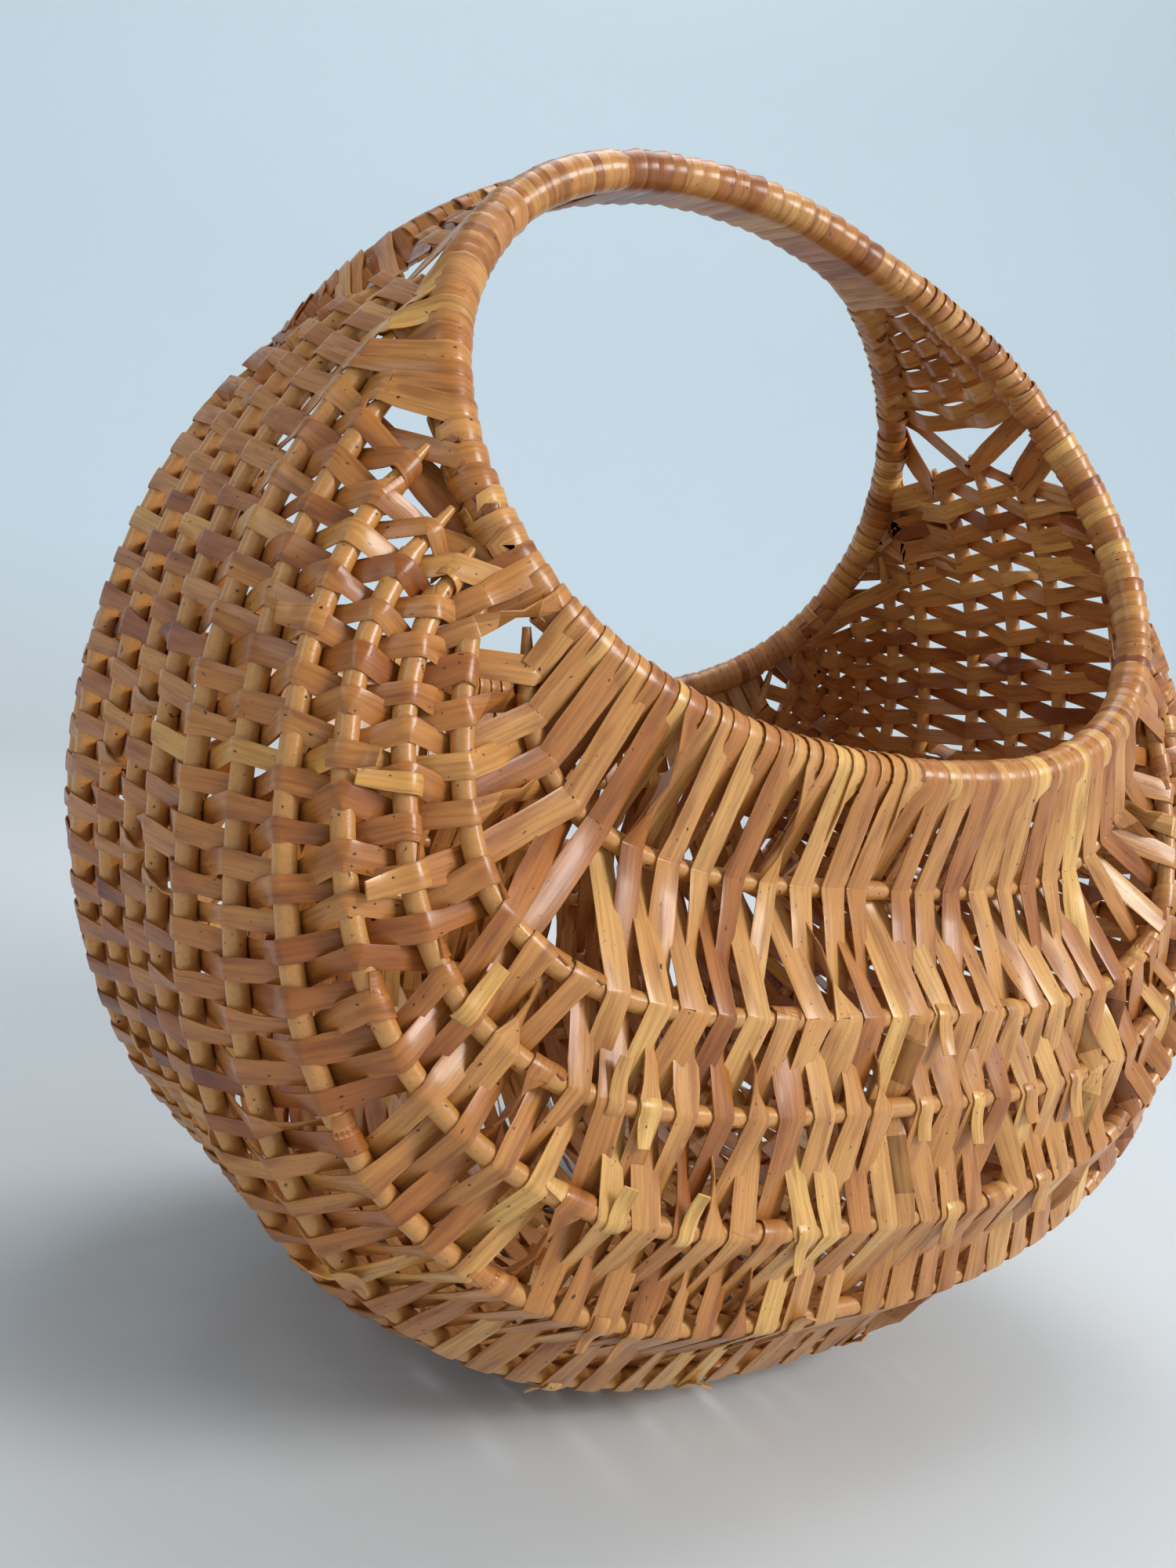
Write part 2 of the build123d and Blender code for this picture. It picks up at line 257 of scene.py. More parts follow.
# a strip's section, going round: share of the half width, share of the half thickness
CROWN = [(-1.0, 0.35), (-0.8, 0.85), (0.0, 1.0), (0.8, 0.85), (1.0, 0.35), (0.95, -0.9), (-0.95, -0.9)]
# slow changes of tone along a strip: how much, over what length, how far apart two tones start
TONE_WAVES = [(0.13, 47.0, 40.0), (0.09, 13.0, 90.0)]
UV_OFFSET = 7.3  # metres of grain between the palest strip and the darkest
ENDS = [(False, "left"), (True, "right")]  # whether a strip is mirrored, and its end of the basket


def drawn(mean, spread, low, high):
    """A random value kept between two limits."""
    return float(np.clip(rng.normal(mean, spread), low, high))


class Strip:
    """A split-willow strip, built up as points with the way its face looks and its half width."""

    def __init__(self):
        self.points, self.faces, self.widths, self.twists = [], [], [], []
        self.tone = 0.5  # 0 is the darkest, 1 the palest

    def add(self, point, face, half_width, twist=0.0):
        self.points.append(np.asarray(point, float))
        self.faces.append(np.asarray(face, float))
        self.widths.append(half_width)
        self.twists.append(twist)


def strip_rings(strip, thickness, flip):
    """The strip's section at each of its points, and the length along it."""
    points = np.array(strip.points)
    tangents = np.zeros_like(points)
    tangents[1:-1] = unit(points[2:] - points[:-2])
    tangents[0] = unit(points[1] - points[0])
    tangents[-1] = unit(points[-1] - points[-2])
    faces = np.array(strip.faces)
    faces = unit(faces - tangents * (faces * tangents).sum(1, keepdims=True))
    across = np.cross(faces, tangents)
    twist = np.array(strip.twists)[:, None]
    turned = faces * np.cos(twist) + across * np.sin(twist)
    across = np.cross(turned, tangents)
    half = np.array(strip.widths)[:, None]
    lengths = np.concatenate([[0], np.cumsum(np.linalg.norm(np.diff(points, axis=0), axis=1))])
    corners = [points + across * half * a + turned * (thickness / 2 * b) for a, b in CROWN]
    rings = np.stack(corners, 1)
    if flip:
        rings = rings * [-1, 1, 1]
    return rings, lengths


def strips_mesh(name, strips, material, thickness=STRIP_T, flip=False):
    """One piece from several strips, each with its own tone and with a UV map in metres."""
    verts, quads, uvs, tones = [], [], [], []
    n = len(CROWN)
    base = 0
    for strip in strips:
        rings, lengths = strip_rings(strip, thickness, flip)
        m = len(rings)
        tone = strip.tone
        drift = sum(size * np.sin(lengths / reach + tone * phase) for size, reach, phase in TONE_WAVES)
        verts.append(rings.reshape(-1, 3))
        tones.append(np.repeat(np.clip(tone + drift, 0, 1), n))
        offset = tone * UV_OFFSET
        for i in range(m - 1):
            for j in range(n):
                a, b = base + i * n + j, base + i * n + (j + 1) % n
                c, d = base + (i + 1) * n + (j + 1) % n, base + (i + 1) * n + j
                quads.append((a, d, c, b) if flip else (a, b, c, d))
                va = CROWN[j][0] * strip.widths[i] * MM
                vb = CROWN[(j + 1) % n][0] * strip.widths[i] * MM
                ua, uc = lengths[i] * MM + offset, lengths[i + 1] * MM + offset
                corner = [(ua, va), (ua, vb), (uc, vb), (uc, va)]
                uvs += [corner[0], corner[3], corner[2], corner[1]] if flip else corner
        first = tuple(base + j for j in range(n))
        last = tuple(base + (m - 1) * n + j for j in range(n))
        quads.append(first if flip else first[::-1])
        quads.append(last[::-1] if flip else last)
        uvs += [(offset, 0.0)] * (2 * n)
        base += m * n
    mesh = bpy.data.meshes.new(name)
    mesh.from_pydata((np.concatenate(verts) * MM).tolist(), [], quads)
    layer = mesh.uv_layers.new(name="strip")
    layer.data.foreach_set("uv", np.array(uvs, np.float32).ravel())
    tone_attribute = mesh.attributes.new("tone", "FLOAT", "POINT")
    tone_attribute.data.foreach_set("value", np.concatenate(tones).astype(np.float32))
    mesh.polygons.foreach_set("use_smooth", [True] * len(mesh.polygons))
    mesh.set_sharp_from_angle(angle=SHARP_ANGLE)
    mesh.materials.append(material)
    piece = bpy.data.objects.new(name, mesh)
    bpy.context.scene.collection.objects.link(piece)
    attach(piece, "root")
    return piece


# ---------------------------------------------------------------- materials
def new_material(name):
    """An empty material with one shader, and what is needed to build on it."""
    material = bpy.data.materials.new(name)
    material.use_nodes = True
    nodes = material.node_tree.nodes
    nodes.clear()
    out = nodes.new("ShaderNodeOutputMaterial")
    shader = nodes.new("ShaderNodeBsdfPrincipled")
    material.node_tree.links.new(shader.outputs["BSDF"], out.inputs["Surface"])
    return material, nodes, material.node_tree.links, shader


def ramp(nodes, links, source, stops):
    """A colour by a value; stops are pairs of value and colour."""
    node = nodes.new("ShaderNodeValToRGB")
    while len(node.color_ramp.elements) < len(stops):
        node.color_ramp.elements.new(0.5)
    for element, (place, colour) in zip(node.color_ramp.elements, stops):
        element.position = place
        element.color = (*colour, 1.0)
    links.new(source, node.inputs["Fac"])
    return node.outputs["Color"]


def mix(nodes, links, kind, factor, a, b):
    """Two colours joined; factor, a and b are each a socket or a constant."""
    node = nodes.new("ShaderNodeMix")
    node.data_type = "RGBA"
    node.blend_type = kind
    for socket, value in ((node.inputs["Factor"], factor), (node.inputs["A"], a), (node.inputs["B"], b)):
        if isinstance(value, (int, float)):
            socket.default_value = value
        elif isinstance(value, tuple):
            socket.default_value = (*value, 1.0)
        else:
            links.new(value, socket)
    return node.outputs["Result"]


def noise(nodes, links, vector, scale, detail, roughness, stretch=None):
    """A cloudy value; stretch gives its cells a size of their own in each direction."""
    if stretch is not None:
        mapping = nodes.new("ShaderNodeMapping")
        mapping.inputs["Scale"].default_value = stretch
        links.new(vector, mapping.inputs["Vector"])
        vector = mapping.outputs["Vector"]
    node = nodes.new("ShaderNodeTexNoise")
    node.inputs["Scale"].default_value = scale
    node.inputs["Detail"].default_value = detail
    node.inputs["Roughness"].default_value = roughness
    links.new(vector, node.inputs["Vector"])
    return node.outputs["Fac"]


PALE = (0.78, 0.46, 0.135)
STRAW = (0.65, 0.325, 0.100)
HONEY = (0.55, 0.232, 0.060)
AMBER = (0.42, 0.145, 0.030)
RED_BROWN = (0.25, 0.070, 0.013)
DARK = (0.055, 0.018, 0.006)
WHITE = (1.0, 1.0, 1.0)
BLACK = (0.0, 0.0, 0.0)
END_PAINTED_SHADE = (0.84, 0.70, 0.56)  # painted shade: the strips' colour is multiplied by this, darker towards both ends of the basket
END_SHADE_FROM, END_SHADE_TO = 0.10, 0.17  # metres from the middle
# share of the way from the darkest tone to the palest
TONES = [(0.0, RED_BROWN), (0.16, AMBER), (0.45, HONEY), (0.75, STRAW), (1.0, PALE)]
# marks on a strip, in cells a metre along it and across it
GRAIN = (40.0, 900.0, 1.0)
CLOUDS = (38.0, 190.0, 1.0)
STRIP_SPECKS = (420.0, 620.0, 1.0)
WORN_PATCHES = (75.0, 260.0, 1.0)
# marks on a rod, in cells a metre
ROD_CLOUDS = 42.0
ROD_SPECKS = 520.0
ROD_GRAIN = 900.0


def grey(value):
    return (value, value, value)


def willow_strip(name, darker=0.0):
    """Varnished split willow: a tone for each strip, long grain, specks, worn patches, and painted shade
    towards the basket's ends.
    """
    material, nodes, links, shader = new_material(name)
    uv = nodes.new("ShaderNodeUVMap")
    uv.uv_map = "strip"
    tone = nodes.new("ShaderNodeAttribute")
    tone.attribute_name = "tone"
    vector = uv.outputs["UV"]
    stops = [(share, tuple(c * (1.0 - darker) for c in shade)) for share, shade in TONES]
    colour = ramp(nodes, links, tone.outputs["Fac"], stops)
    grain = noise(nodes, links, vector, 1.0, 4.0, 0.6, GRAIN)
    stops = [(0.30, (0.62, 0.55, 0.48)), (0.55, WHITE), (0.8, (1.16, 1.14, 1.08))]
    streak = ramp(nodes, links, grain, stops)
    colour = mix(nodes, links, "MULTIPLY", 0.8, colour, streak)
    cloud = noise(nodes, links, vector, 1.0, 3.0, 0.5, CLOUDS)
    stops = [(0.34, (0.60, 0.46, 0.36)), (0.5, WHITE), (0.72, (1.12, 1.10, 1.02))]
    blotch = ramp(nodes, links, cloud, stops)
    colour = mix(nodes, links, "MULTIPLY", 0.75, colour, blotch)
    speck = noise(nodes, links, vector, 1.0, 2.0, 0.5, STRIP_SPECKS)
    dots = ramp(nodes, links, speck, [(0.68, BLACK), (0.74, WHITE)])
    colour = mix(nodes, links, "MIX", dots, colour, DARK)
    worn = noise(nodes, links, vector, 1.0, 3.0, 0.6, WORN_PATCHES)
    pale = ramp(nodes, links, worn, [(0.70, BLACK), (0.79, grey(0.55))])
    colour = mix(nodes, links, "MIX", pale, colour, PALE)
    # painted shade: from about 0.10 m to 0.17 m out from the middle, at both ends of the basket, the
    # colour is darkened
    place = nodes.new("ShaderNodeTexCoord")
    split = nodes.new("ShaderNodeSeparateXYZ")
    links.new(place.outputs["Object"], split.inputs["Vector"])
    from_middle = nodes.new("ShaderNodeMath")
    from_middle.operation = "ABSOLUTE"
    links.new(split.outputs["X"], from_middle.inputs[0])
    stops = [(END_SHADE_FROM, WHITE), (END_SHADE_TO, END_PAINTED_SHADE)]
    end_shade = ramp(nodes, links, from_middle.outputs["Value"], stops)
    colour = mix(nodes, links, "MULTIPLY", 1.0, colour, end_shade)
    links.new(colour, shader.inputs["Base Color"])
    gloss = ramp(nodes, links, cloud, [(0.3, grey(0.46)), (0.7, grey(0.27))])
    links.new(gloss, shader.inputs["Roughness"])
    shader.inputs["Coat Weight"].default_value = 0.22
    shader.inputs["Coat Roughness"].default_value = 0.15
    shader.inputs["Specular IOR Level"].default_value = 0.38
    bump = nodes.new("ShaderNodeBump")
    bump.inputs["Strength"].default_value = 0.45
    bump.inputs["Distance"].default_value = 0.00025
    links.new(grain, bump.inputs["Height"])
    links.new(bump.outputs["Normal"], shader.inputs["Normal"])
    return material


def willow_rod(name, light, dark):
    """A peeled round willow rod, with small dark dots and a slow change of colour."""
    material, nodes, links, shader = new_material(name)
    coordinates = nodes.new("ShaderNodeTexCoord")
    vector = coordinates.outputs["Object"]
    cloud = noise(nodes, links, vector, ROD_CLOUDS, 4.0, 0.55)
    brighter = tuple(c * 1.2 for c in light)
    colour = ramp(nodes, links, cloud, [(0.3, dark), (0.52, light), (0.75, brighter)])
    speck = noise(nodes, links, vector, ROD_SPECKS, 2.0, 0.5)
    dots = ramp(nodes, links, speck, [(0.68, BLACK), (0.74, WHITE)])
    colour = mix(nodes, links, "MIX", dots, colour, DARK)
    fine = noise(nodes, links, vector, ROD_GRAIN, 3.0, 0.6)
    streak = ramp(nodes, links, fine, [(0.3, (0.8, 0.76, 0.72)), (0.6, (1.05, 1.04, 1.02))])
    colour = mix(nodes, links, "MULTIPLY", 0.6, colour, streak)
    links.new(colour, shader.inputs["Base Color"])
    gloss = ramp(nodes, links, cloud, [(0.3, grey(0.42)), (0.7, grey(0.28))])
    links.new(gloss, shader.inputs["Roughness"])
    shader.inputs["Coat Weight"].default_value = 0.3
    shader.inputs["Coat Roughness"].default_value = 0.18
    bump = nodes.new("ShaderNodeBump")
    bump.inputs["Strength"].default_value = 0.35
    bump.inputs["Distance"].default_value = 0.0003
    links.new(fine, bump.inputs["Height"])
    links.new(bump.outputs["Normal"], shader.inputs["Normal"])
    return material


STRIP_MATERIAL = willow_strip("woven_willow_strip")
WRAP_MATERIAL = willow_strip("wrapped_willow_strip", 0.06)
RIB_MATERIAL = willow_rod("willow_rib", (0.56, 0.25, 0.06), HONEY)
HOOP_MATERIAL = willow_rod("willow_hoop", AMBER, RED_BROWN)
for node_name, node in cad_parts.items():
    material = HOOP_MATERIAL if node_name.endswith("_hoop") else RIB_MATERIAL
    node.data.materials.clear()
    node.data.materials.append(material)
    node.data.polygons.foreach_set("use_smooth", [True] * len(node.data.polygons))


# ---------------------------------------------------------------- weaving the passes
ZIGZAG_END = 0.25  # sideways lean of a pass on the ends, as a share of the pitch
ZIGZAG_FRONT = 0.26
LEAN_FROM, LEAN_TO = 75.0, 140.0  # distances from the middle between which the one becomes the other
FIRST_RIB_LEAN = 0.6  # share of the lean that is kept next to the rim
LEAN_PITCH = LEAST_PITCH * 1.12
CROSSING_SCATTER = 0.6
LINE_MARGIN = 0.3  # a pass crosses a line no nearer than this to its end
RIM_ROOM = 13.0  # a pass takes no notice of a rib nearer than this to its place on the rim

HALF_WIDTH = (3.6, 0.22, 3.1, 4.1)  # of a pass: mean, spread, least, most
WIDTH_VARIATION = (1, 0.09, 0.8, 1.2)  # from rib to rib
WIDTH_RANGE = (1.12, 1.5)  # share of the width, by the room between a pass's neighbours
END_WIDTHS = {False: 0.88, True: 1.02}  # the same at the left and right ends
END_FROM, END_TO = 90.0, 150.0  # distances from the middle between which an end's width takes over
WOVEN_TONE = (0.5, 0.2, 0.02, 0.98)

RIB_PATH_R = RIB_R + 0.5
RIM_PATH_R = HOOP_R + 0.85
RIM_LIFT = (-0.1, 0.3)
RIM_SHINGLE = 0.17  # each turn on a rim is tipped this much, over its neighbour
RIM_TURN, RIB_TURN = 5.1, 2.6  # how far round a strip's end goes, radians
RIM_TURN_STEPS, RIB_TURN_STEPS = 15, 9
RIM_DRIFT, RIB_DRIFT = 2.2, 2.4  # how far an end's turn runs along the rod
FLAT_BEND = 0.12  # half angle of a strip's bend over a rod, where it stays on the same side
MOST_BEND = 0.92  # greatest sine of it, where it changes sides


def lean(x, flip):
    """How far an outside crossing moves towards the rib's tip, as a share of the pitch."""
    end = smooth_step(LEAN_FROM, LEAN_TO, abs(x))
    front = ZIGZAG_FRONT if flip else -ZIGZAG_FRONT
    return ZIGZAG_END * end + front * (1 - end)


def crossings(row, parity, numbers, flip):
    """Where a pass crosses the lines: (line number, point, line direction, outside or inside)."""
    found = []
    for number in numbers:
        own = min(number, LAST - number)
        s = row[own]
        if own and 0 in row and np.linalg.norm(LINES[own].at(s) - RIM.at(row[0])) < RIM_ROOM:
            continue
        side = 1 if own == 0 or (parity + number) % 2 == 0 else -1
        if own:
            share = lean(LINES[own].at(s)[0], flip) * (FIRST_RIB_LEAN if own == 1 else 1.0)
            s += side * share * LEAN_PITCH + rng.normal(0, CROSSING_SCATTER)
        s = float(np.clip(s, LINE_MARGIN, LINES[own].length - LINE_MARGIN))
        found.append((number, line_point(number, s), line_tangent(number, s), side))
    return found


def path_radius(number):
    """How far from a line's centre the middle of a strip runs."""
    return RIM_PATH_R if number in (0, LAST) else RIB_PATH_R


def outward(nodes, spot):
    """The direction out of the weaving at a crossing."""
    before, after = nodes[max(spot - 1, 0)][1], nodes[min(spot + 1, len(nodes) - 1)][1]
    return unit(np.cross(nodes[spot][2], after - before))


def bend(nodes, spot, other, radius):
    """Half the angle through which a strip lies on a rod, on the side towards another crossing."""
    if nodes[other][3] == nodes[spot][3]:
        return FLAT_BEND
    length = np.linalg.norm(nodes[other][1] - nodes[spot][1])
    return float(np.arcsin(min(MOST_BEND, (radius + path_radius(nodes[other][0])) / length)))


def end_turn(node, out, way, theta, radius, half):
    """A strip's end, wound round a rod up to where the strip leaves it: (point, face, half width)."""
    number, point, tangent, side = node
    is_rim = number in (0, LAST)
    way = unit(way - tangent * (way @ tangent))
    turn = RIM_TURN if is_rim else RIB_TURN
    drift = side * (RIM_DRIFT if is_rim else RIB_DRIFT)
    ring = []
    for angle in np.linspace(-turn, theta, RIM_TURN_STEPS if is_rim else RIB_TURN_STEPS):
        face = side * out * np.cos(angle) + way * np.sin(angle)
        spot = point + radius * face + tangent * drift * min(0.0, angle) / turn
        ring.append((spot, face * side, half))
    return ring


def weave(nodes, pitches, end_width):
    """A strip through a pass's crossings; pitches gives the room it has at each line."""
    strip = Strip()
    width = drawn(*HALF_WIDTH)
    last = len(nodes) - 1
    for j, (number, point, _, side) in enumerate(nodes):
        out = outward(nodes, j)
        is_rim = number in (0, LAST)
        radius = path_radius(number) + (rng.uniform(*RIM_LIFT) if is_rim else 0.0)
        at_end = smooth_step(END_FROM, END_TO, abs(point[0]))
        room = float(np.clip(pitches[min(number, LAST - number)] / PITCH, *WIDTH_RANGE))
        half = width * (room * (1 - at_end) + end_width * at_end) * drawn(*WIDTH_VARIATION)
        ways, bends = {}, {}
        for other in (j - 1, j + 1):
            if 0 <= other <= last:
                way = nodes[other][1] - point
                ways[other] = unit(way - out * (way @ out))
                bends[other] = bend(nodes, j, other, radius)
        if j in (0, last):
            inner = 1 if j == 0 else last - 1
            ring = end_turn(nodes[j], out, ways[inner], bends[inner], radius, half)
            for spot, face, half in ring if j == 0 else ring[::-1]:
                strip.add(spot, face, half, RIM_SHINGLE if is_rim else 0.0)
            continue
        for other, share in ((j - 1, 1.0), (j - 1, 0.5), (j + 1, 0.0), (j + 1, 0.5), (j + 1, 1.0)):
            angle = bends[other] * share
            face = side * out * np.cos(angle) + ways[other] * np.sin(angle)
            strip.add(point + radius * face, face * side, half)
    return strip


FREE_RUN = 7.0  # a run longer than this gets points between its ends
LONG_RUN = 14.0  # and one longer than this gets more
RUN_TWIST = (0.10, 0.16)  # mean and spread, radians
TWIST_SPAN = 17.0  # a run longer than this may hold a strong twist
TWIST_CHANCE = 0.09
STRONG_TWIST = 1.1


def with_middles(strip):
    """Adds points in the long straight runs, where a strip may turn about its own length."""
    made = Strip()
    count = len(strip.points)
    for i in range(count):
        made.add(strip.points[i], strip.faces[i], strip.widths[i], strip.twists[i])
        if i + 1 < count:
            gap = strip.points[i + 1] - strip.points[i]
            length = np.linalg.norm(gap)
            if length > FREE_RUN:
                tilt = rng.normal(*RUN_TWIST)
                if length > TWIST_SPAN and rng.random() < TWIST_CHANCE:
                    tilt += STRONG_TWIST
                steps = 3 if length > LONG_RUN else 2
                for k in range(1, steps + 1):
                    share = k / (steps + 1)
                    face = strip.faces[i] * (1 - share) + strip.faces[i + 1] * share
                    bulge = np.sin(share * np.pi)
                    made.add(strip.points[i] + gap * share, face, strip.widths[i], tilt * bulge)
    return made


def full_numbers(row):
    """The numbers of all the lines that a pass crosses, front rim to back rim."""
    front = sorted(row)
    return front + [LAST - k for k in front[::-1] if k != MIDDLE]


for flip, end_name in ENDS:
    for index, row in enumerate(ROWS):
        nodes = crossings(row, index, full_numbers(row), flip)
        strip = with_middles(weave(nodes, LOCAL_PITCH[index], END_WIDTHS[flip]))
        strip.tone = drawn(*WOVEN_TONE)
        piece = strips_mesh(f"{end_name}_pass_{index + 1}", [strip], STRIP_MATERIAL, flip=flip)


EXTRA_GAP = 6.9  # between two passes on a rim, from which a short pass fits between them
EXTRA_RIBS = 3  # ribs that a short pass crosses


def extra_rows():
    """Short passes that start on the rim between two others that stand wide apart there."""
    made = []
    full = [i for i, row in enumerate(ROWS) if 0 in row]
    for low, high in zip(full, full[1:]):
        if ROWS[high][0] - ROWS[low][0] < EXTRA_GAP:
            continue
        shared = [k for k in range(MIDDLE) if k in ROWS[low] and k in ROWS[high]]
        row = {k: (ROWS[high][k] + ROWS[low][k]) / 2 for k in shared[: EXTRA_RIBS + 1]}
        made.append((row, high))
    return made


for flip, end_name in ENDS:
    strips = []
    for row, parity in extra_rows():
        for numbers in (sorted(row), [LAST - k for k in sorted(row)[::-1]]):
            nodes = crossings(row, parity, numbers, flip)
            if len(nodes) < 2:
                continue
            strip = with_middles(weave(nodes, {k: PITCH for k in row}, END_WIDTHS[flip]))
            strip.tone = drawn(*WOVEN_TONE)
            strips.append(strip)
    strips_mesh(f"{end_name}_short_passes", strips, STRIP_MATERIAL, flip=flip)


CUT_ENDS = 16  # at the left end, and as many at the right
CUT_END_FREE = 12  # passes nearest to an ear that have none
CUT_END_PLACES = range(2, 7)  # crossings, counted from the front rim, that may have one
CUT_END_HALF_WIDTH = (2.4, 3.4)
CUT_END_REACH = (6, 11)
CUT_END_LIFT = (0.8, 3.0)
CUT_END_TONE = (0.7, 1.0)
CUT_END_FORWARD = 0.6  # share of them that point towards the back rim
CUT_END_BEND = (-1.1, 0.5)  # how it lies on its rib, radians
CUT_END_DIP = 1.2
CUT_END_TAPER = 0.25
CUT_END_TWIST = 0.3


def cut_end(nodes, place):
    """The cut end of a strip, laid over a rib and standing a little away from the weaving."""
    point, out = nodes[place][1], outward(nodes, place)
    before, after = nodes[place - 1][1], nodes[place + 1][1]
    way = unit(after - before) * (1 if rng.random() < CUT_END_FORWARD else -1)
    strip = Strip()
    half = float(rng.uniform(*CUT_END_HALF_WIDTH))
    reach, lift = float(rng.uniform(*CUT_END_REACH)), float(rng.uniform(*CUT_END_LIFT))
    radius = RIB_PATH_R + STRIP_T
    for angle in np.linspace(*CUT_END_BEND, 6):
        face = out * np.cos(angle) + way * np.sin(angle)
        strip.add(point + radius * face, face, half)
    start = strip.points[-1]
    for share in (0.35, 0.7, 1.0):
        spot = start + way * reach * share - out * (CUT_END_DIP * share) + out * lift * share**2
        strip.add(spot, out, half * (1 - CUT_END_TAPER * share), CUT_END_TWIST * share)
    strip.tone = float(rng.uniform(*CUT_END_TONE))
    return strip


for flip, end_name in ENDS:
    loose = []
    full = [i for i, row in enumerate(ROWS) if 0 in row]
    for index in rng.choice(full[:-CUT_END_FREE], CUT_ENDS, replace=False):
        row = ROWS[index]
        nodes = crossings(row, index, full_numbers(row), flip)
        outside = [j for j in CUT_END_PLACES if nodes[j][3] > 0]
        loose.append(cut_end(nodes, int(rng.choice(outside))))
    strips_mesh(f"{end_name}_cut_ends", loose, STRIP_MATERIAL, flip=flip)

bands = [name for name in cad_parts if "weave_band" in name]
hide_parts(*bands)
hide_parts("front_rim_wrap", "back_rim_wrap")


# ---------------------------------------------------------------- the grip
GRIP_PITCH = 6.8  # between turns
GRIP_SHINGLE = 0.16  # each turn is tipped this much, over its neighbour
GRIP_HALF_WIDTH = (3.7, 0.25, 3.2, 4.2)
GRIP_LIFT = (0.0, 0.35)
GRIP_SKEW = 0.004
GRIP_TURN_STEPS = 44
GRIP_JOIN = 0.35  # share of the way round at which one turn goes over into the next
GRIP_TONE = (0.36, 0.17, 0.03, 0.9)
GRIP_R = HOOP_R + 0.55
T_STEP = 0.01  # step of hoop parameter over which the grip's direction is taken


def grip_line(t):
    """A point between the two hoops; t runs through 0 at the top, and is negative on the left."""
    x, y, z = hoop(abs(t))[0]
    return np.array([x * (1 if t > 0 else -1), 0, z]), abs(y)


def twin_section(t, angle, radius):
    """A point of the wrap round both hoops: angle runs once round from the outer side."""
    centre, spread = grip_line(t)
    along = unit(grip_line(t + T_STEP)[0] - grip_line(t - T_STEP)[0])
    up = np.array([-along[2], 0, along[0]])
    side = np.array([0, 1.0, 0])
    straight = 2 * spread
    total = 2 * straight + 2 * np.pi * radius
    run = (angle / (2 * np.pi) % 1.0) * total
    if run < straight:
        return centre + side * (run - spread) + up * radius, up
    run -= straight
    if run < np.pi * radius:
        a = run / radius
        face = up * np.cos(a) + side * np.sin(a)
        return centre + side * spread + face * radius, face
    run -= np.pi * radius
    if run < straight:
        return centre + side * (spread - run) - up * radius, -up
    run -= straight
    a = run / radius
    face = -up * np.cos(a) - side * np.sin(a)
    return centre - side * spread + face * radius, face


def grip_turns():
    """The common wrap of the grip: one turn after another, each laid against the last."""
    line = hoop(np.linspace(0, GRIP_END, 200))
    length = np.linalg.norm(np.diff(line, axis=0), axis=1).sum()
    turns = int(round(2 * length / GRIP_PITCH))
    made = []
    for turn in range(turns):
        strip = Strip()
        half = drawn(*GRIP_HALF_WIDTH)
        lift = rng.uniform(*GRIP_LIFT)
        skew = rng.normal(0, GRIP_SKEW)
        for part in np.linspace(0, 1, GRIP_TURN_STEPS + 1):
            share = (turn + part) / turns
            t = GRIP_END * (2 * share - 1) + skew * np.sin(2 * np.pi * part)
            spot, face = twin_section(t, 2 * np.pi * (part + GRIP_JOIN), GRIP_R + lift)
            strip.add(spot, face, half, GRIP_SHINGLE)
        strip.tone = drawn(*GRIP_TONE)
        made.append(strip)
    return made


grip = strips_mesh("grip_wrap_turns", grip_turns(), WRAP_MATERIAL, GRIP_STRIP_T)
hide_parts("grip_wrap")


# ---------------------------------------------------------------- rims and ears
S_SPLIT = RIM.nearest(hoop(GRIP_END)[0] * [-1, 1, 1])  # rim level with the grip's end
S_LAST = max(row[0] for row in ROWS if 0 in row)  # where the last pass meets the rim
UNDER_LAP = 1.0  # how far the layer next to a hoop runs in under the grip's wrap
UNDER_PITCH = 6.0  # between turns of the layer next to a hoop
UNDER_R = HOOP_R + 0.4
UNDER_HALF_WIDTH = (3.1, 0.25, 2.6, 3.7)
UNDER_LIFT = (0.0, 0.2)
UNDER_TURN_STEPS = 18
UNDER_TONE = (0.2, 0.12, 0.02, 0.6)
EAR_PITCH = 4.9  # between strips laid from hoop to hoop above the ribs
EAR_HALF_WIDTH = (3.7, 0.2, 3.2, 4.2)
EAR_LIFT = (0.85, 1.1)
EAR_TONE = (0.5, 0.18, 0.05, 0.98)
EAR_TURN = (-4.6, 0.35)  # how an ear strip's end lies round its hoop, radians
EAR_TURN_STEPS = 14
EAR_FOUR_WAVES, EAR_TWO_WAVES = 34, 17  # a strip between hoops this far apart has so many waves
EAR_WAVE_STEPS = 8
EAR_WAVE = 2.3
EAR_INSET = 1.3  # the waves start this many radii from a hoop's centre line
EAR_SAG = 9.0  # how far the lowest of them hangs down between the hoops
EAR_SAG_KEPT = 0.8  # share of the sag that the next one up keeps
EAR_FROM, EAR_TO = 3, 2  # room left above the last pass, and below the grip's end


def hoop_turns(side):
    """Turns round one hoop from under the grip's wrap to the rim's middle; side is 1 front, -1 back."""
    made = []
    start = S_SPLIT + UNDER_LAP
    count = int(start / UNDER_PITCH)
    for turn in range(count):
        strip = Strip()
        half = drawn(*UNDER_HALF_WIDTH)
        lift = rng.uniform(*UNDER_LIFT)
        for part in np.linspace(0, 1, UNDER_TURN_STEPS + 1):
            s = start * (1 - (turn + part) / count)
            point, tangent = RIM.at(s), RIM.tangent(s)
            out = unit(np.cross(tangent, [0, 0, -1.0]))
            up = np.cross(out, tangent)
            angle = 2 * np.pi * part
            face = out * np.cos(angle) + up * np.sin(angle)
            strip.add((point + face * (UNDER_R + lift)) * [1, side, 1], face * [1, side, 1], half)
        if side < 0:
            strip.points.reverse()
            strip.faces.reverse()
        strip.tone = drawn(*UNDER_TONE)
        made.append(strip)
    return made


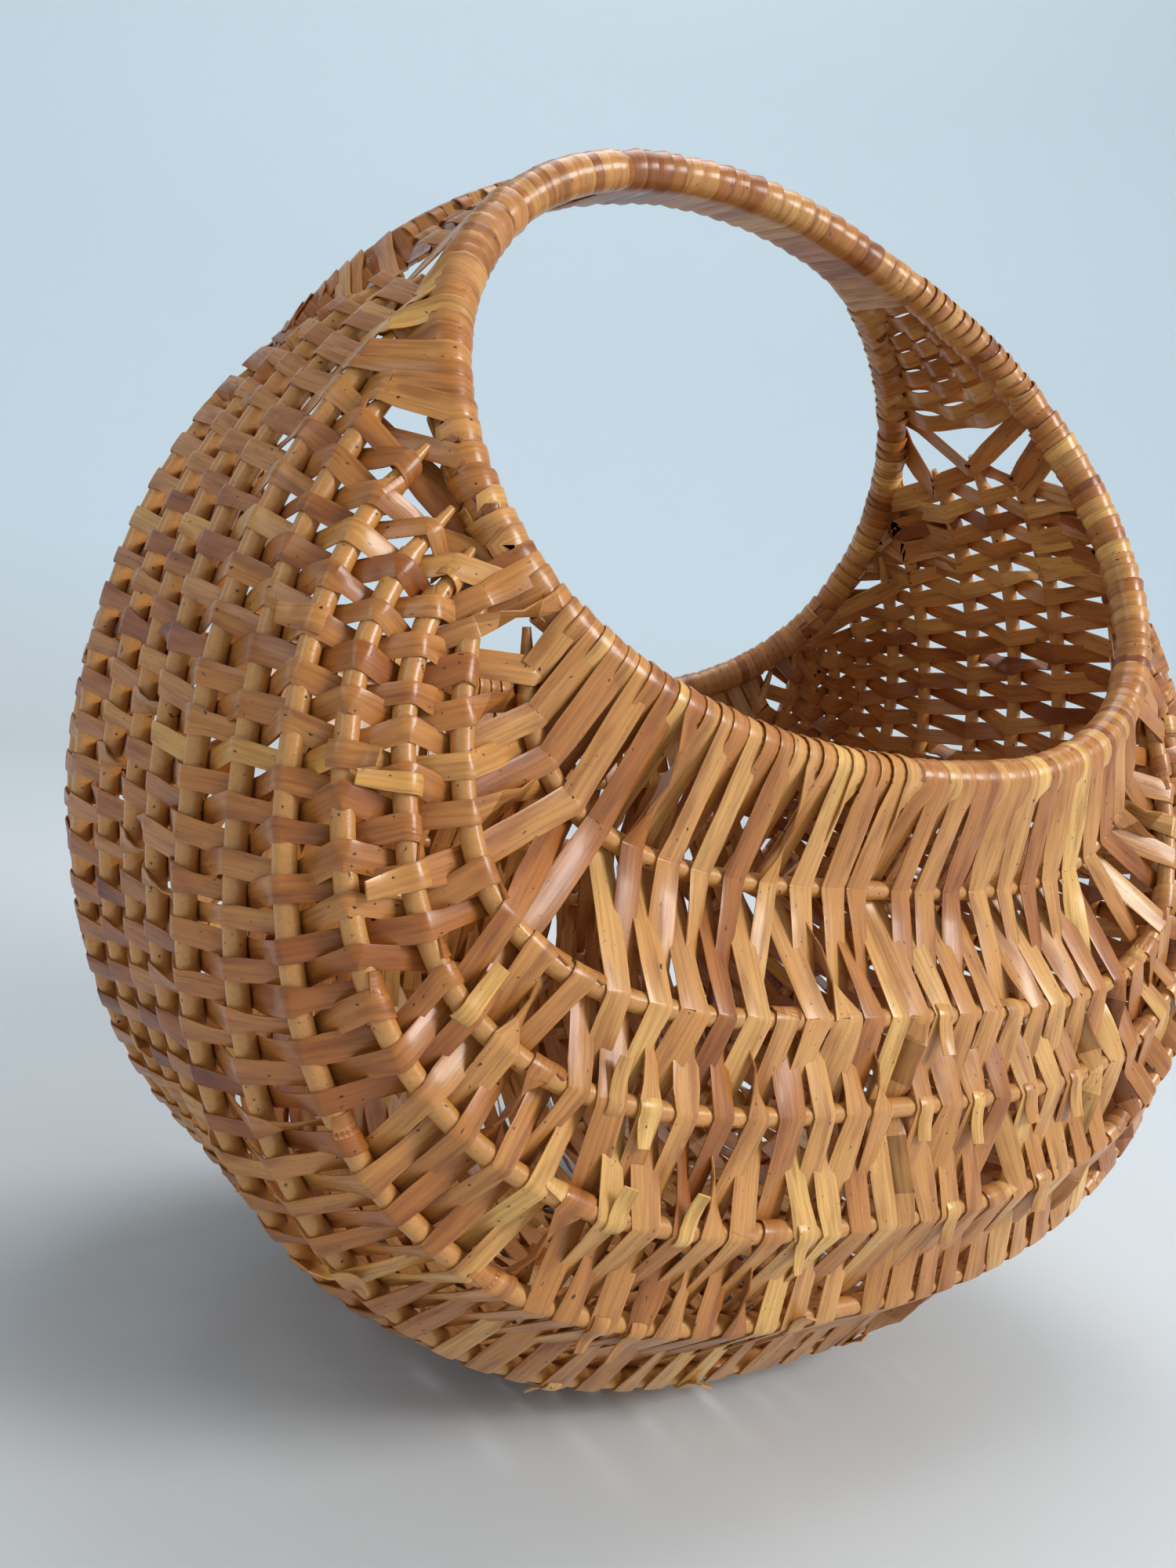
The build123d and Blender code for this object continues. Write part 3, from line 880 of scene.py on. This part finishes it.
def ear_strip(s, number):
    """A strip from hoop to hoop above the ribs, turned round each and waved in between."""
    strip = Strip()
    front, tangent = RIM.at(s), RIM.tangent(s)
    back = front * [1, -1, 1]
    width = back[1] - front[1]
    waves = 4 if width > EAR_FOUR_WAVES else 2 if width > EAR_TWO_WAVES else 1
    side = 1 if number % 2 == 0 else -1
    level = tangent * [1, 0, 1]
    out = unit(np.cross(level, back - front))
    radius = HOOP_R + rng.uniform(*EAR_LIFT)
    half = drawn(*EAR_HALF_WIDTH)
    inset = radius * EAR_INSET
    for angle in np.linspace(*EAR_TURN, EAR_TURN_STEPS):
        face = side * out * np.cos(angle) + np.array([0, 1, 0]) * np.sin(angle)
        strip.add(front + radius * face, face * side, half)
    if width > 3 * inset:
        for share in np.linspace(inset / width, 1 - inset / width, EAR_WAVE_STEPS * waves):
            wave = side * EAR_WAVE * np.cos(np.pi * waves * share)
            sag = EAR_SAG * EAR_SAG_KEPT**number * np.sin(np.pi * share)
            strip.add(front + (back - front) * share + out * wave - unit(level) * sag, out, half)
    side *= (-1) ** waves
    for angle in np.linspace(*EAR_TURN[::-1], EAR_TURN_STEPS):
        face = side * out * np.cos(angle) - np.array([0, 1, 0]) * np.sin(angle)
        strip.add(back + radius * face, face * side, half)
    strip.tone = drawn(*EAR_TONE)
    return strip


ear_room = S_SPLIT - S_LAST
for flip, end_name in ENDS:
    ear = hoop_turns(1) + hoop_turns(-1)
    count = int(ear_room / EAR_PITCH)
    for k in range(count):
        ear.append(ear_strip(S_LAST + EAR_FROM + (ear_room - EAR_FROM - EAR_TO) * (k + 0.5) / count, k))
    piece = strips_mesh(f"{end_name}_ear_strips", ear, WRAP_MATERIAL, flip=flip)
    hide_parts(f"{end_name}_ear_lashing")


# ---------------------------------------------------------------- stage, light and camera, in metres
FLOOR_R = 1.5
CURVE_R = 0.9
WALL_TOP = 3.0
HUB_R = 0.001  # the floor's innermost ring, closed by one face
AROUND = 72
FLOOR_COLOUR = (0.62, 0.65, 0.67)
WALL_COLOUR = (0.62, 0.72, 0.78)
WALL_FROM = 0.30  # height at which the floor's colour has become the wall's


def backdrop():
    """A seamless round floor that curves up into a wall on every side."""
    profile = [(HUB_R, 0.0), (0.5, 0.0), (FLOOR_R, 0.0)]
    for a in np.linspace(0.1, np.pi / 2, 12):
        profile.append((FLOOR_R + CURVE_R * np.sin(a), CURVE_R - CURVE_R * np.cos(a)))
    profile.append((FLOOR_R + CURVE_R, WALL_TOP))
    verts, faces = [], []
    for radius, height in profile:
        for a in np.linspace(0, 2 * np.pi, AROUND, endpoint=False):
            verts.append((radius * np.cos(a), radius * np.sin(a), height))
    for ring in range(0, len(verts) - AROUND, AROUND):
        for k in range(AROUND):
            n = (k + 1) % AROUND
            faces.append((ring + k, ring + AROUND + k, ring + AROUND + n, ring + n))
    faces.append(tuple(range(AROUND)))
    mesh = bpy.data.meshes.new("backdrop")
    mesh.from_pydata(verts, [], faces)
    mesh.polygons.foreach_set("use_smooth", [True] * len(mesh.polygons))
    material, nodes, links, shader = new_material("backdrop_paint")
    coordinates = nodes.new("ShaderNodeTexCoord")
    height = nodes.new("ShaderNodeSeparateXYZ")
    links.new(coordinates.outputs["Object"], height.inputs["Vector"])
    colour = ramp(nodes, links, height.outputs["Z"], [(0.0, FLOOR_COLOUR), (WALL_FROM, WALL_COLOUR)])
    links.new(colour, shader.inputs["Base Color"])
    shader.inputs["Roughness"].default_value = 0.75
    mesh.materials.append(material)
    piece = bpy.data.objects.new("backdrop", mesh)
    bpy.context.scene.collection.objects.link(piece)


BELLY = (0, 0, 0.18)


def area_light(name, place, size, energy, colour, aim=BELLY):
    """A soft rectangular lamp, turned towards a point."""
    data = bpy.data.lights.new(name, "AREA")
    data.shape = "RECTANGLE"
    data.size, data.size_y = size
    data.energy = energy
    data.color = colour
    lamp = bpy.data.objects.new(name, data)
    lamp.location = place
    lamp.rotation_euler = (Vector(aim) - Vector(place)).to_track_quat("-Z", "Y").to_euler()
    bpy.context.scene.collection.objects.link(lamp)


backdrop()
area_light("key_light", (0.9, -1.5, 1.2), (0.7, 0.7), 30, (1.0, 0.98, 0.95))
area_light("window_light", (-1.5, -0.3, 1.0), (0.5, 0.8), 3.2, (1.0, 0.97, 0.92))
area_light("wall_light", (0.4, 0.9, 2.3), (1.0, 1.0), 13, (1.0, 0.98, 0.97), (1.6, 2.2, 0.9))
area_light("top_light", (0.3, 0.3, 1.9), (1.2, 1.2), 14, (0.97, 0.98, 1.0))

world = bpy.data.worlds.new("studio")
world.use_nodes = True
world.node_tree.nodes["Background"].inputs["Color"].default_value = (0.92, 0.93, 0.95, 1.0)
world.node_tree.nodes["Background"].inputs["Strength"].default_value = 0.3
bpy.context.scene.world = world
bpy.context.scene.view_settings.view_transform = "Standard"

# the basket stands level here; the roll stands for its lean to the left
CAMERA_PLACE = (-0.2988, -0.3784, 0.2301)
CAMERA_YAW = 0.611
CAMERA_PITCH = -0.097
CAMERA_ROLL = 0.153
CAMERA_LENS = 30.87

camera_data = bpy.data.cameras.new("photo_camera")
camera_data.lens = CAMERA_LENS
camera_data.sensor_width = 36.0
camera_data.clip_start = 0.01
camera = bpy.data.objects.new("photo_camera", camera_data)
forward = np.array([np.sin(CAMERA_YAW), np.cos(CAMERA_YAW), 0.0]) * np.cos(CAMERA_PITCH)
ahead = forward + [0.0, 0.0, np.sin(CAMERA_PITCH)]
level = np.array([np.cos(CAMERA_YAW), -np.sin(CAMERA_YAW), 0.0])
upright = np.cross(level, ahead)
right = level * np.cos(CAMERA_ROLL) + upright * np.sin(CAMERA_ROLL)
up = upright * np.cos(CAMERA_ROLL) - level * np.sin(CAMERA_ROLL)
facing = Matrix((right, up, -ahead)).transposed().to_4x4()
camera.matrix_world = Matrix.Translation(CAMERA_PLACE) @ facing
bpy.context.scene.collection.objects.link(camera)
bpy.context.scene.camera = camera
